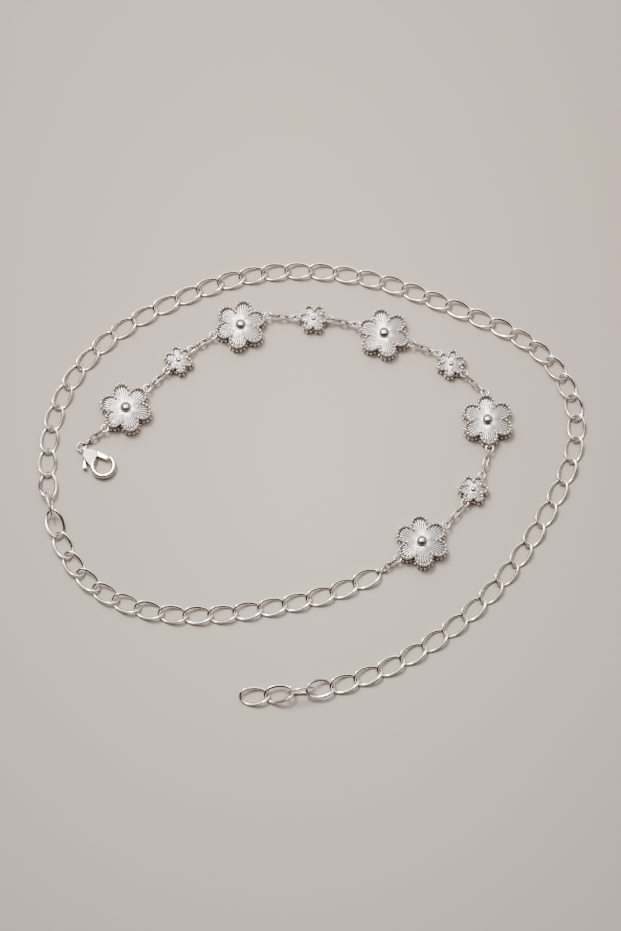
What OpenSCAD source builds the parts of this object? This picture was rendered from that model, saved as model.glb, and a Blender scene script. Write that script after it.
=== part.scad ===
// Waist chain lying open on a flat surface. Nine rosettes, large and small in turn, are
// joined by short chains of three oval links. A long curb chain runs on from the last
// rosette, round the outside of the row, to a free end. A jump ring and a lobster clasp
// hang on the first rosette. Millimetres, +Z up, z = 0 is the surface.

/* [Curb chain] */
// Number of links in the long curb chain
link_count = 68; // [60:1:68]
// Outer length of a curb link
link_l = 11.8; // [11.5:0.1:12.1]
// Outer width of a curb link
link_w = 7.1; // [6.9:0.1:7.4]
// Thickness of the curb links' wire
link_wire = 0.92; // [0.86:0.02:0.94]
// How far a curb link's wire is twisted up and down out of its plane
link_twist = 0.78; // [0.76:0.02:0.82]
// Play between one curb link and the next as they lie
link_play = 0.76; // [0.7:0.02:0.9]

/* [Rosettes] */
// Number of petals of a rosette
petal_count = 6; // [6:2:8]
// Reach of the large rosettes from their centre to a petal's tip
large_tip = 10.4; // [10:0.1:10.8]
// Reach of the small rosettes from their centre to a petal's tip
small_tip = 5.95; // [5.8:0.05:6.2]
// Height of the large rosettes' rim
large_h = 4.3; // [4:0.1:4.6]
// Height of the small rosettes' rim
small_h = 3.7; // [3.6:0.1:4]
// Depth of a rosette's face below its rim
face_drop = 0.65; // [0.5:0.05:0.8]
// Width of the raised edge round a petal, and height of the foot below it
edge_d = 0.9; // [0.8:0.05:1]
// How far the raised edge stands back from the foot
edge_step = 0.17; // [0.12:0.01:0.22]
// Diameter of the large rosettes' domed centre
large_boss_d = 4.3; // [4:0.1:4.6]
// Diameter of the small rosettes' domed centre
small_boss_d = 2.3; // [2.1:0.1:2.5]
// Diameter of the studs between the petals
stud_d = 1.1; // [1:0.05:1.2]

/* [Eyes and oval links] */
// Wire thickness of the rosettes' eyes
eye_wire = 0.66; // [0.6:0.02:0.7]
// Outer diameter of a large rosette's eye
large_eye_d = 3.46; // [3.4:0.02:3.6]
// Outer diameter of a small rosette's eye
small_eye_d = 3.16; // [3.1:0.02:3.3]
// How deep a large rosette's eye is let into its petal
large_eye_sink = 0.63; // [0.5:0.01:0.7]
// How deep a small rosette's eye is let into its petal
small_eye_sink = 1.05; // [0.9:0.01:1.1]
// Level of the eyes' middle above the surface
eye_z = 2.95; // [2.9:0.05:3]
// Outer length of an oval link
oval_l = 4.75; // [4.7:0.05:4.9]
// Outer width of an oval link
oval_w = 2.4; // [2.36:0.02:2.5]
// Wire thickness of the oval links
oval_wire = 0.62; // [0.56:0.02:0.64]
// Play between two oval links as they lie
oval_play = 0.54; // [0.5:0.02:0.6]
// Play between an oval link and the eye it hangs in
eye_play = 0.49; // [0.44:0.01:0.54]
// How far the middle oval link hangs below the line between its eyes
oval_sag = 0.48; // [0.4:0.02:0.52]
// Slope of the outer oval links in degrees
oval_slope = 12; // [11:0.5:13]
// Play between the last oval link and the curb link it hangs in
curb_play = 0.1; // [0.08:0.01:0.12]

/* [Jump ring and clasp] */
// Wire thickness of the jump ring
ring_wire = 0.7; // [0.64:0.02:0.74]
// Outer diameter of the jump ring
ring_d = 4.3; // [4.2:0.1:4.6]
// Thickness of the clasp, flat side to flat side
clasp_h = 2.6; // [2.5:0.1:2.9]
// Length of the clasp from the jump ring's wire to the hook's far side
clasp_l = 14.7; // [14.5:0.1:15.1]
// Width of the opening inside the clasp's hook
hook_hole = 6.6; // [6.4:0.1:6.8]
// Width of the hook's band
hook_band = 1.65; // [1.55:0.05:1.75]
// Width of the lug that the jump ring passes through
lug_w = 1.4; // [1.3:0.1:1.5]
// Metal left behind the jump ring in the lug
lug_wall = 0.4; // [0.35:0.05:0.5]
// Clearance round the jump ring's wire in the lug
lug_play = 0.3; // [0.26:0.01:0.34]
// Diameter of the lever's hinge pin
pin_d = 0.8; // [0.7:0.05:0.9]
// Clearance round the hinge pin
pin_play = 0.05; // [0.03:0.01:0.08]
// Diameter of the lever's hub
hub_d = 2.5; // [2.3:0.1:2.6]
// Thickness of the lever inside the clasp
lever_h = 1; // [0.9:0.05:1.1]
// Thickness of the gate and the thumb tab outside the clasp
gate_h = 1.9; // [1.8:0.1:2.1]
// Clearance between the lever and the clasp
lever_play = 0.1; // [0.08:0.01:0.14]

/* [Hidden] */
$fn = 48;
large_count = 5;
small_count = 4;
rosette_count = large_count + small_count;
ovals_per_joint = 3;
joint_count = rosette_count + 1;

// Colour of the polished white metal
METAL = "silver";

// Where the rosettes lie, as they were set out at a spacing of ROSETTE_STEP:
// x, y and the turn of the line through their two eyes
ROSETTE_STEP = 28.55;
ROSETTE_ROUTE = [
    [-72, 28, 46], [-52, 48, 44], [-28, 62.5, 21.5], [0.5, 65.5, -3], [28, 59, -20],
    [54, 46.5, -41], [67.5, 23, -87], [61.5, -5, -121], [41.5, -26, -144.5]];

// Guide points of the curb chain's route, one for every fourth link, as they were set
// out at a spacing of CURB_STEP between links. The first lies before the chain.
CURB_STEP = 9.2;
CURB_GUIDE_STEP = 4;
CURB_ROUTE = [
    [52.5, -16.5], [21, -43.5], [-15, -52], [-53, -57.5], [-88.5, -45], [-102.5, -12.5],
    [-103.5, 26], [-84, 58], [-48.5, 77.5], [-16, 88], [24, 84.5], [57, 69.5],
    [92.5, 54.5], [107, 20.5], [89.5, -15.5], [69, -46.5], [38.5, -71.5], [4, -85.5],
    [-31.5, -86.5], [-67.5, -86.5], [-100, -80]];

// The two curb links that lie rolled up on edge: number, counted from 0, and roll
CURB_ROLLED = [[16, 78], [65, 90]];
// Half the stretch, in links, over which the chain rises to a rolled link
CURB_RISE_REACH = 1.8;
// Extra height half way up that rise, which keeps the sloping links off the surface
CURB_RISE_EASE = 0.07;
// How far a rolled link draws its neighbours in, as a share of the spacing, and the
// number of links over which that fades
CURB_PULL = 0.12;
CURB_PULL_FADE = 4;

// How far the chains at the two ends of the row are drawn out, as a share of their
// usual span, and the direction they run in
CLASP_SIDE = [1.03, 218.7];
CURB_SIDE = [0.9, 217];
// How much of the usual sag these two have, since they come down to the surface, and how
// far their line starts above the eye and ends below the middle of the wire it holds
END_SAG = 0.3;
END_LIFT = 0.2;
END_DROP = 0.22;
// Direction of the clasp
CLASP_TURN = -46;

// Rings round a curb link's wire, sides of the wire, and how much closer together the
// rings lie at the link's ends, in degrees
LINK_RINGS = 14;
LINK_SIDES = 5;
RING_SHIFT = 7;
// Height at which the curb links' lowest points are set
REST_PLAY = 0.02;

// Shares of a rosette's sizes: petal radius of its reach, height of the boss, diameter and
// height of the boss's collar of the boss's diameter, and how far the studs stand in
PETAL_SHARE = 0.356;
BOSS_RISE = 0.34;
COLLAR_D = 1.1;
COLLAR_H = 0.09;
STUD_INSET = 0.1;

// Shapes of the clasp as shares of its reach and of its hook's radius
HOOK_SIDE = 0.152;
PIVOT_SHARE = [0.348, 0.081];
WEB = [
    [0.05, 0.14], [0.237, 0.5], [0.45, 0.3], [0.63, 0.02], [0.68, -0.52], [0.64, -0.6],
    [0.503, -0.577], [0.338, -0.545], [0.139, -0.457], [0.05, -0.14]];
GATE = [[0.4, 0.61], [0.49, 0.3], [0.912, 0.67], [0.873, 0.915]];
GATE_ARM = [[0.32, 0.2], [0.42, -0.05], [0.49, 0.32], [0.4, 0.61]];
TAB = [[0.31, -0.62], [0.37, -0.62], [0.63, -0.91], [0.52, -1.12]];
TAB_ARM = [[0.29, 0], [0.4, 0], [0.37, -0.7], [0.3, -0.7]];
// Share of the reach over which the lug runs into the web
LUG_RUN = 0.15;
// Cut-off corners of the hook's band, as a share of the band's width
BAND_CUT = 0.3;
// Directions between which the hook's band runs round its centre
HOOK_SPAN = [-172, 98];
// Wall round the lever's hub, and how far the lever's room is cut past it
KNUCKLE_WALL = 1.05;
ROOM_REACH = 2;
// Directions between which the gate's arm and the thumb tab's arm have room
GATE_ROOM = [-2, 100];
TAB_ROOM = [-135, -66];

// Derived sizes of the curb chain
link_a = (link_l - link_wire) / 2;
link_b = (link_w - link_wire) / 2;
link_rest = link_twist + link_wire / 2 + REST_PLAY;
link_pitch = link_l - 2 * link_wire - link_play;
half_count = floor(link_count / 2);

// Derived sizes of the oval links and of a whole joint of three, eye to eye
oval_reach = (oval_l - oval_wire) / 2;
oval_pitch = oval_l - 2 * oval_wire - oval_play;
eye_hold = large_eye_d / 2 - eye_wire - oval_wire / 2 - eye_play;
eye_grip = (large_eye_d - eye_wire) / 2 - eye_hold;
joint_span = (ovals_per_joint - 1) * oval_pitch + 2 * oval_reach + 2 * eye_hold;

// Derived places of the eyes, from a rosette's centre
large_eye_at = large_tip + large_eye_d / 2 - large_eye_sink;
small_eye_at = small_tip + small_eye_d / 2 - small_eye_sink;
rosette_step = large_eye_at + small_eye_at + joint_span;

// Derived sizes of the jump ring and the clasp
ring_r = (ring_d - ring_wire) / 2;
ring_z = clasp_h / 2;
hook_r = hook_hole / 2 + hook_band;
hook_reach = clasp_l - hook_r;
lug_hole = ring_wire + 2 * lug_play;
slot_h = lever_h + 2 * lever_play;
PIVOT = clasp_point(PIVOT_SHARE);
knuckle_r = hub_d / 2 + KNUCKLE_WALL;
gate_clear = knuckle_r + 2 * lever_play;

function oval_name(i) = str("oval_link_", i < 10 ? "0" : "", i);
function direction(turn) = [cos(turn), sin(turn)];
function flat(p) = [p.x, p.y];
function at_height(p, z) = [p.x, p.y, z];
function unit(v) = v / norm(v);

// Rosettes: even places in the route are large, odd ones small
function is_large(i) = i % 2 == 0;
function rosette_at(i) = flat(ROSETTE_ROUTE[i]) * rosette_step / ROSETTE_STEP;
function rosette_turn(i) = ROSETTE_ROUTE[i].z;
function eye_reach(i) = is_large(i) ? large_eye_at : small_eye_at;
function eye_at(i, side) =
    at_height(rosette_at(i) + side * eye_reach(i) * direction(rosette_turn(i)), eye_z);

// Where the jump ring's centre lies, and where the clasp's lug crosses its wire
function ring_centre() =
    flat(eye_at(0, -1)) + (CLASP_SIDE.x * joint_span + ring_hold()) * direction(CLASP_SIDE.y);
function ring_hold() = ring_r - ring_wire / 2 - oval_wire / 2 - eye_play - eye_hold;
function clasp_at() = ring_centre() + ring_r * direction(CLASP_TURN);

// The wire of the first curb link that the last joint hangs on
function curb_start() =
    flat(eye_at(rosette_count - 1, 1)) + (CURB_SIDE.x * joint_span - curb_hold()) * direction(CURB_SIDE.y);
function curb_hold() = link_wire / 2 + oval_wire / 2 + curb_play + eye_hold;

// Uniform cubic B-spline through the guide points, by link number
function spline_weights(f) = [
    pow(1 - f, 3), 3 * pow(f, 3) - 6 * f * f + 4, 3 * (f + f * f - pow(f, 3)) + 1, pow(f, 3)] / 6;
function route_point(i) =
    let (k = floor(i / CURB_GUIDE_STEP), w = spline_weights(i / CURB_GUIDE_STEP - k))
    [0, 0] + w[0] * CURB_ROUTE[k] + w[1] * CURB_ROUTE[k + 1]
        + w[2] * CURB_ROUTE[k + 2] + w[3] * CURB_ROUTE[k + 3];

// Place of link number i on the route, drawn towards the rolled links near it
function drawn(i, n = 0) = n == len(CURB_ROLLED) ? i
    : drawn(i, n + 1) - CURB_PULL * pull_of(i - CURB_ROLLED[n][0]);
function pull_of(off) = sign(off) * min(abs(off), 1) * exp(-max(abs(off) - 1, 0) / CURB_PULL_FADE);

// Rise of the chain at link number i, from the rolled links near it
function rise(i, n = 0) = n == len(CURB_ROLLED) ? 0
    : rise_to(i - CURB_ROLLED[n][0], CURB_ROLLED[n][1]) + rise(i, n + 1);
function rise_to(off, roll) = abs(off) > CURB_RISE_REACH ? 0
    : (link_b * abs(sin(roll)) + link_wire / 2 - link_rest) * pow(cos(90 * off / CURB_RISE_REACH), 2)
        + CURB_RISE_EASE * pow(sin(180 * off / CURB_RISE_REACH), 2);
function roll_of(i) = let (hit = [for (r = CURB_ROLLED) if (r[0] == i) r[1]]) len(hit) > 0 ? hit[0] : 0;

// Centre of curb link i, counted from 0, with the first link's end on curb_start()
function first_heading() = unit(route_point(drawn(1)) - route_point(drawn(0)));
function link_at(i) = at_height(
    curb_start() + link_a * first_heading()
        + (route_point(drawn(i)) - route_point(drawn(0))) * link_pitch / CURB_STEP,
    link_rest + rise(i));

// Axes of curb link i: along the chain, across it and up, turned by the link's roll
function link_axes(i) =
    let (
        along = unit(i == 0 ? at_height(first_heading(), 0) : link_at(i + 0.5) - link_at(i - 0.5)),
        side = unit(cross([0, 0, 1], along)),
        up = cross(along, side),
        roll = roll_of(i))
    [along, side * cos(roll) + up * sin(roll), up * cos(roll) - side * sin(roll)];

// Centreline of a curb link and its direction, in the link's own axes
function wire_point(t) = [link_a * cos(t), link_b * sin(t), -link_twist * sin(2 * t)];
function wire_heading(t) = unit([-link_a * sin(t), link_b * cos(t), -2 * link_twist * cos(2 * t)]);
function ring_turn(k) = 360 * k / LINK_RINGS - RING_SHIFT * sin(720 * k / LINK_RINGS);

// Points of the wire's surface, ring by ring
function wire_ring(k) =
    let (
        t = ring_turn(k),
        heading = wire_heading(t),
        up = unit([0, 0, 1] - heading.z * heading),
        side = cross(heading, up))
    [for (s = [0:LINK_SIDES - 1])
        wire_point(t) + link_wire / 2 * (cos(360 * s / LINK_SIDES) * up + sin(360 * s / LINK_SIDES) * side)];
LINK_POINTS = [for (k = [0:LINK_RINGS - 1]) each wire_ring(k)];
function placed(p, i) = let (axes = link_axes(i)) link_at(i) + p.x * axes[0] + p.y * axes[1] + p.z * axes[2];
function link_faces(first) = [
    for (k = [0:LINK_RINGS - 1])
        for (s = [0:LINK_SIDES - 1])
            let (
                a = first + k * LINK_SIDES + s,
                b = first + k * LINK_SIDES + (s + 1) % LINK_SIDES,
                c = first + (k + 1) % LINK_RINGS * LINK_SIDES + s,
                d = first + (k + 1) % LINK_RINGS * LINK_SIDES + (s + 1) % LINK_SIDES)
            each [[a, b, d], [a, d, c]]];

// Interlocking curb links from number "from" to number "to"
module curb_links(from, to) {
    color(METAL)
    polyhedron(
        points = [for (i = [from:to]) each [for (p = LINK_POINTS) placed(p, i)]],
        faces = [for (i = [from:to]) each link_faces((i - from) * len(LINK_POINTS))]);
}

// Round wire bent to a ring or to a part of one
module wire_arc(r, wire, angle = 360) {
    rotate_extrude(angle = angle)
    translate([r, 0])
    circle(d = wire);
}

// Oval link in its own plane, its length along x
module oval_link() {
    end_r = (oval_w - oval_wire) / 2;
    straight = oval_l - oval_w;
    for (side = [-1, 1]) {
        translate([side * straight / 2, 0, 0])
        rotate([0, 0, -90 * side])
        wire_arc(end_r, oval_wire, 180);
        translate([-straight / 2, side * end_r, 0])
        rotate([0, 90, 0])
        cylinder(d = oval_wire, h = straight);
    }
}

// One of the three oval links between two holding points: k counts from 0 at "from".
// The outer two stand on edge and slope down to the middle one, which lies flat.
// "sag" is the share of the usual sag that the joint has.
module joint_link(from, to, k, sag = 1, end_roll = 90) {
    run = to - from;
    span = norm(run);
    step = oval_pitch * span / joint_span;
    middle = (ovals_per_joint - 1) / 2;
    is_middle = k == middle;
    slope = sag * (k - middle) * oval_slope + asin(run.z / span);
    drop = sag * (is_middle ? oval_sag : (oval_reach - eye_grip) * sin(oval_slope));
    centre = (from + to) / 2 + (k - middle) * step * unit(run) - [0, 0, drop];
    color(METAL)
    translate(centre)
    rotate([0, -slope, atan2(run.y, run.x)])
    rotate([is_middle ? 0 : k > middle ? end_roll : 90, 0, 0])
    oval_link();
}

// Outline of a rosette drawn with petals of radius r
module petals(tip, r) {
    for (k = [0:petal_count - 1]) {
        rotate(360 * k / petal_count)
        translate([tip * (1 - PETAL_SHARE), 0])
        circle(r);
    }
}

// Dome of diameter d and the low collar round its foot, on a face at height z
module boss(d, z) {
    rise = BOSS_RISE * d;
    ball_r = (d * d / 4 + rise * rise) / (2 * rise);
    translate([0, 0, z + rise - ball_r])
    sphere(ball_r);
    translate([0, 0, z - COLLAR_H * d])
    cylinder(d = COLLAR_D * d, h = 2 * COLLAR_H * d);
}

// Rosette with its centre on the z axis and its two eyes on the x axis
module rosette(tip, h, boss_d, eye_at, eye_d) {
    petal_r = PETAL_SHARE * tip;
    at = tip - petal_r;
    wall_r = petal_r - edge_step;
    face_z = h - face_drop;
    stud_at = at * cos(180 / petal_count) - STUD_INSET * stud_d;
    difference() {
        union() {
            linear_extrude(edge_d)
            petals(tip, petal_r);
            linear_extrude(h) {
                petals(tip, wall_r);
                circle(at);
            }
        }
        translate([0, 0, face_z])
        linear_extrude(h) {
            petals(tip, wall_r - edge_d);
            circle(at - edge_d);
        }
    }
    for (k = [0:petal_count - 1]) {
        rotate([0, 0, 360 * (k + 0.5) / petal_count])
        translate([stud_at, 0, h])
        sphere(d = stud_d);
    }
    boss(boss_d, face_z);
    for (side = [-1, 1]) {
        translate([side * eye_at, 0, eye_z])
        wire_arc((eye_d - eye_wire) / 2, eye_wire);
    }
}

// Rosette number i of the route, where it lies
module placed_rosette(i) {
    color(METAL)
    translate(at_height(rosette_at(i), 0))
    rotate([0, 0, rosette_turn(i)])
    if (is_large(i)) {
        rosette(large_tip, large_h, large_boss_d, large_eye_at, large_eye_d);
    } else {
        rosette(small_tip, small_h, small_boss_d, small_eye_at, small_eye_d);
    }
}

// Oval link number n of the whole row, counted from 0 at the clasp
module placed_oval(n) {
    joint = floor(n / ovals_per_joint);
    k = n % ovals_per_joint;
    is_end = joint == 0 || joint == rosette_count;
    lift = [0, 0, is_end ? END_LIFT : 0];
    from = joint == 0
        ? at_height(ring_centre() - ring_hold() * direction(CLASP_SIDE.y), ring_z - END_DROP)
        : eye_at(joint - 1, 1) + lift;
    to = joint == rosette_count
        ? at_height(curb_start() + curb_hold() * direction(CURB_SIDE.y), link_rest - END_DROP)
        : eye_at(joint, -1) + lift;
    tip_lean = atan(2 * link_twist / link_b);
    joint_link(from, to, k, is_end ? END_SAG : 1, joint == rosette_count ? 90 + tip_lean : 90);
}

module jump_ring() {
    color(METAL)
    translate(at_height(ring_centre(), ring_z))
    wire_arc(ring_r, ring_wire);
}

// A point of the clasp from shares of its reach and of its hook's radius
function clasp_point(share) = [share.x * hook_reach, share.y * hook_r];

module clasp_polygon(shares) {
    polygon([for (s = shares) clasp_point(s)]);
}

// Places what follows in the clasp's own axes: x from the jump ring to the hook
module in_clasp() {
    translate(at_height(clasp_at(), 0))
    rotate([0, 0, CLASP_TURN])
    children();
}

// Sector of a circle between two directions
module sector(r, span) {
    steps = 8;
    polygon([[0, 0], for (s = [0:steps]) r * direction(span[0] + (span[1] - span[0]) * s / steps)]);
}

// Flat outline of the clasp's web, from the lug to the hook's root
module web_outline() {
    back = lug_hole / 2 + lug_wall;
    clasp_polygon(WEB);
    translate([-back, -lug_w / 2])
    square([back + LUG_RUN * hook_reach, lug_w]);
    translate(PIVOT)
    circle(knuckle_r);
}

// Section of the hook's band with its corners cut off
module band_section() {
    cut = BAND_CUT * hook_band;
    in = hook_hole / 2;
    polygon([
        [in, cut], [in + cut, 0], [hook_r - cut, 0], [hook_r, cut],
        [hook_r, clasp_h - cut], [hook_r - cut, clasp_h], [in + cut, clasp_h], [in, clasp_h - cut]]);
}

// Room in the middle of the clasp for the lever's hub and the swing of its two arms
module lever_room() {
    translate([PIVOT.x, PIVOT.y, (clasp_h - slot_h) / 2])
    linear_extrude(slot_h) {
        circle(hub_d / 2 + 2 * lever_play);
        sector(knuckle_r + ROOM_REACH, GATE_ROOM);
        sector(knuckle_r + ROOM_REACH, TAB_ROOM);
    }
}

module clasp_body() {
    color(METAL)
    in_clasp() {
        difference() {
            union() {
                linear_extrude(clasp_h)
                web_outline();
                translate([hook_reach, HOOK_SIDE * hook_r, 0])
                rotate([0, 0, HOOK_SPAN[0]])
                rotate_extrude(angle = HOOK_SPAN[1] - HOOK_SPAN[0])
                band_section();
            }
            lever_room();
            translate([0, lug_w, ring_z])
            rotate([90, 0, 0])
            cylinder(d = lug_hole, h = 2 * lug_w);
        }
        translate(PIVOT)
        cylinder(d = pin_d, h = clasp_h);
    }
}

module clasp_lever() {
    color(METAL)
    in_clasp() {
        difference() {
            union() {
                translate([0, 0, (clasp_h - lever_h) / 2])
                linear_extrude(lever_h) {
                    translate(PIVOT)
                    circle(d = hub_d);
                    clasp_polygon(GATE_ARM);
                    clasp_polygon(TAB_ARM);
                }
                translate([0, 0, (clasp_h - gate_h) / 2])
                linear_extrude(gate_h)
                difference() {
                    union() {
                        clasp_polygon(GATE);
                        clasp_polygon(TAB);
                    }
                    translate(PIVOT)
                    circle(gate_clear);
                }
            }
            translate(PIVOT)
            cylinder(d = pin_d + 2 * pin_play, h = clasp_h);
        }
    }
}

module curb_chain_a() {
    curb_links(0, half_count - 1);
}

module curb_chain_b() {
    curb_links(half_count, link_count - 1);
}

for (i = [1:large_count]) {
    placed_rosette(2 * (i - 1));
}
for (i = [1:small_count]) {
    placed_rosette(2 * i - 1);
}
for (i = [1:joint_count * ovals_per_joint]) {
    placed_oval(i - 1);
}
jump_ring();
clasp_body();
clasp_lever();
curb_chain_a();
curb_chain_b();
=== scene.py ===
"""A waist chain lying open in a spiral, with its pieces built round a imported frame."""

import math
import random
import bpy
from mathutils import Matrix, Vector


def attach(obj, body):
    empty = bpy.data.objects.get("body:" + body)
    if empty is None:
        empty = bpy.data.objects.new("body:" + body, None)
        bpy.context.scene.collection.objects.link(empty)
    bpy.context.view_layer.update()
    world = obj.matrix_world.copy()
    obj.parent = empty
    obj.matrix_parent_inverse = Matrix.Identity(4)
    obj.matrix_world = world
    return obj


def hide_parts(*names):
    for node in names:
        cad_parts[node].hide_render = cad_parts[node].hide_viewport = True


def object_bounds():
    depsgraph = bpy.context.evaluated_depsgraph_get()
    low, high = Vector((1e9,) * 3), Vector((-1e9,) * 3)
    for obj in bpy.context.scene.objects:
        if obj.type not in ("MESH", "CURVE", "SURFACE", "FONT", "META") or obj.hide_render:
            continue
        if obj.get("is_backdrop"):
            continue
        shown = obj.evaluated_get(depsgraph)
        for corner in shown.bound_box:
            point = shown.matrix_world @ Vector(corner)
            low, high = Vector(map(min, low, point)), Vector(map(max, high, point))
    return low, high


bl_info = {
    "name": "Waist Chain",
    "version": (1, 0, 0),
    "blender": (4, 5, 0),
    "location": "3D View > Sidebar > Waist Chain",
    "description": "Builds a waist chain of curb links, rosettes, oval links and a lobster clasp",
    "category": "Add Mesh",
}

import bmesh
import bpy
import numpy as np
from bpy.props import FloatProperty, FloatVectorProperty, IntProperty, PointerProperty
from mathutils import Matrix, Vector

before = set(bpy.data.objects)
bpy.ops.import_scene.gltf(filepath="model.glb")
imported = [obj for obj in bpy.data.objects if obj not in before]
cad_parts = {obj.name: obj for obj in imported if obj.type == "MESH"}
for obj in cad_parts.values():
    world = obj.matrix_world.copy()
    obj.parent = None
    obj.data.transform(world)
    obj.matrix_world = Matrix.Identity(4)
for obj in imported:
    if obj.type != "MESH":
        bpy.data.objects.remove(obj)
cad_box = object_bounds()

MM = 0.001
FULL_TURN = 2 * math.pi
CHAIN_BODY = "chain"
LEVER_BODY = "lever"
# Corners of a mesh that lie closer than this are merged
WELD = 0.0005 * MM

# Steps round a link or a ring, and sides of its wire
LINK_STEPS = 56
OVAL_STEPS = 28
RING_STEPS = 36
WIRE_SIDES = 12
CURB_SIDES = 16
# Facets around and up a bead, and those of a larger ball
BEAD_FACETS = (8, 6)
BALL_FACETS = (14, 10)

# Thickness of the round wire that the curb links' middle line is worked out from
CAD_WIRE = 0.92 * MM
# How square the curb wire's flattened section is, and how its flats lean: the usual angle
# inwards, how much it differs from link to link, and how far a link's wire may be turned as
# a whole, which leans the flats of its two sides the same way
SQUARENESS = 2.5
CURB_LEAN = math.radians(23)
CURB_LEAN_SPREAD = math.radians(9)
CURB_TURN_SPREAD = math.radians(15)
LEAN_SEED = 7
# A link lies rolled up on edge where its own upward arrow rises less than this share of its
# length, and then it has this much of its twist
ROLLED_RISE = 0.5
ROLLED_TWIST = 0.3

# Steps along a petal's arc, along the small arc at a notch, and round the domed centre
PETAL_STEPS = 22
NOTCH_STEPS = 6
LATHE_STEPS = 40
# Loops across a rosette's flat underside, as shares of the way out
UNDER_SHARES = (0.05, 0.5)
# Section of a rosette from its underside over the edge to the face, in millimetres:
# inset from the outline, and height above the surface or depth below the rim
FOOT_SECTION = [(0.55, 0.0), (0.3, 0.06), (0.24, 0.2), (0.24, 0.78), (0.3, 0.92), (0.42, 0.98)]
RIM_SECTION = [(0.44, 2.6), (0.38, 0.9), (0.27, 0.7), (0.22, 0.5), (0.24, 0.33), (0.34, 0.22),
               (0.62, 0.17), (0.9, 0.22), (1.0, 0.33), (1.05, 0.5), (1.08, 0.64)]
# Floor of the recess below the face: share of the way out, and height over the face's level
# in millimetres
RECESS_SECTION = [(0.9, -0.62), (0.3, -0.62)]
# The fluted plate, round from its underside over its edge to its middle: share of the way
# out, height over the face's level in millimetres, and share of the flutes' depth
FACE_SECTION = [(0.12, -0.56, 0.0), (1.0, -0.56, 0.0), (1.0, -0.05, 1.0), (0.86, 0.0, 1.0),
                (0.72, 0.05, 1.0), (0.6, 0.09, 0.95), (0.5, 0.12, 0.85), (0.4, 0.14, 0.6),
                (0.3, 0.15, 0.25), (0.12, 0.15, 0.0)]
# Inset of that plate's edge from the rosette's outline
FACE_INSET = 0.98 * MM
# One flute: places of its points as shares of its width, and their depth
FLUTE = [(0.0, 1.0), (0.27, 0.24), (0.5, 0.0), (0.73, 0.24)]
# Collar of the dome and the dome's own rise, as shares of the dome's diameter
COLLAR_SECTION = [(0.55, -0.05), (0.55, 0.055), (0.54, 0.08), (0.515, 0.09)]
BOSS_RISE = 0.34
BOSS_STEPS = 9
# The rows of beads: inset from the outline, and height of the beads' middles over the rim
# or above the surface
RIM_BEAD_INSET = 0.7 * MM
RIM_BEAD_RISE = 0.08 * MM
FOOT_BEAD_INSET = 0.18 * MM
FOOT_BEAD_HEIGHT = 1.35 * MM
# A stud between two petals: depth of its middle below the rim, and then, as shares of its
# diameter, how far inwards it stands, how high over the face its foot's middle lies, and
# the foot's lower radius, upper radius and height
STUD_DROP = 0.05 * MM
STUD_INWARDS = 0.1
STUD_FOOT_RISE = 0.1
STUD_FOOT = (0.62, 0.4, 0.6)
# Lump of solder at an eye: its inset from the petal's tip and its diameter, as shares of the
# eye's wire
LUMP_INSET = 0.5
LUMP_SIZE = 2.2

# The clasp's casting: the grain that its shape is worked out again with, how strongly and
# how often its edges are smoothed, and what that takes off its sides, put back afterwards
BODY_GRAIN = 0.09 * MM
LEVER_GRAIN = 0.08 * MM
SMOOTHING = 0.5
SMOOTH_PASSES = 4
REGROWN = 0.11 * MM
# Where the clasp's satin part starts, from the middle towards the jump ring, and its fade
SATIN_FROM = 0.2 * MM
SATIN_FADE = 0.9 * MM

# Names of the map and the marks that the materials read
FACE_MAP = "face_plane"
GROOVE = "groove"
SATIN = "satin"
# A rosette's materials after the first, which its dome and eyes have
FACE_SLOT = 1
PAINTED_SHADE_SLOT = 2
BEAD_SLOT = 3

# Least roughness of each metal, and what haze adds to the polished ones
LINK_ROUGHNESS = 0.1
SHADED_LINK_ROUGHNESS = 0.12
ROSETTE_ROUGHNESS = 0.2
BEAD_ROUGHNESS = 0.2
CAST_ROUGHNESS = 0.14
FACE_ROUGHNESS = 0.15
RECESS_ROUGHNESS = 0.3
HAZE = 0.1
# Shares of a colour: of plating clear and under haze, of a casting bright and satin, on a
# flute's crest and in its groove, where the darker groove is painted shade, and in a recess,
# whose colour is painted shade, without and with grime
HAZE_TONES = (0.93, 1.0)
CAST_BRIGHT = 1.1
CAST_SATIN = 0.46
FLUTE_SHADE_TONES = (1.0, 0.1)
RECESS_TONES = (1.2, 0.6)
# How metallic the faces and the recesses are, which are duller than the rest
DULL_METAL = 0.8
# Heights of the surfaces' fine unevenness
DENTS = 0.012 * MM
HAIRLINES = 0.0015 * MM
CAST_WAVES = 0.03 * MM
CAST_PITS = 0.008 * MM
BRUSHING = 0.02 * MM
GRIME = 0.01 * MM
# How often the brushed lines change round a face and outwards from its middle
BRUSH_STRETCH = (24.0, 1.2)

# The pale surface: half its width in metres, and how far it lies below the chain
FLOOR_HALF = 3.0
FLOOR_DROP = 0.02 * MM
# How far from its middle its painted falloff of the light reaches, across and away from the
# camera, in metres, and how much of its colour is left there
PAINTED_FALLOFF_REACH = (0.13, 0.2)
PAINTED_FALLOFF_SHARE = 0.62
# Its cloudy light and dark, and what its far side keeps of its red, green and blue, which
# makes that side darker and warmer as a painted falloff of the light
MOTTLING = (0.985, 1.015)
FAR_FALLOFF_TINT = (1.0, 0.93, 0.8)

# Colour of the soft boxes and of the room's own light
LIGHT_TINT = (1.0, 0.972, 0.945)
# Soft boxes: name, place in metres, width and height in metres, and power in watts
LIGHTS = [
    ("high_box", (-0.05, 0.45, 0.9), (1.6, 1.3), 19.0),
    ("key_box", (-0.3, 0.5, 1.0), (0.36, 0.36), 20.0),
]
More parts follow.
